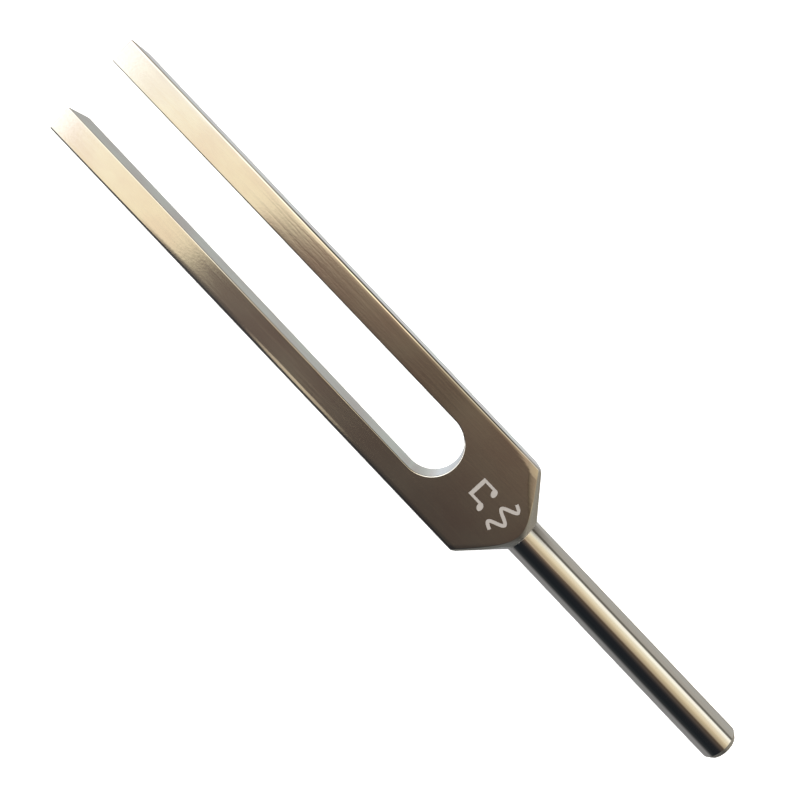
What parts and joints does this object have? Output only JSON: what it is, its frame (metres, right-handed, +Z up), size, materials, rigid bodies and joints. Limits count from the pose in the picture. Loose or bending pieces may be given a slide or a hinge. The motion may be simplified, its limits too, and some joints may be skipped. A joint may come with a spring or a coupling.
{
  "type": "tuning fork",
  "caption": "Flat-bar tuning fork that sounds one steady pitch when struck, with a slotted two-tined head, a coned shoulder and a round screwed-in stem to hold it by.",
  "frame": {"origin": "centre of the fork's footprint, on the surface that the head's back face lies on", "axes": "+Y along the fork from the stem's foot towards the tine tips, +X across the two tines, +Z up out of the head's front face"},
  "size_m": [0.025, 0.1898, 0.01],
  "materials": {
    "brushed_head": "lengthwise brushed aluminium, edges buffed bright",
    "polished_stem": "polished turned aluminium"
  },
  "bodies": {
    "root": {"fork_head": "brushed_head", "handle_stem": "polished_stem"}
  },
  "joints": []
}
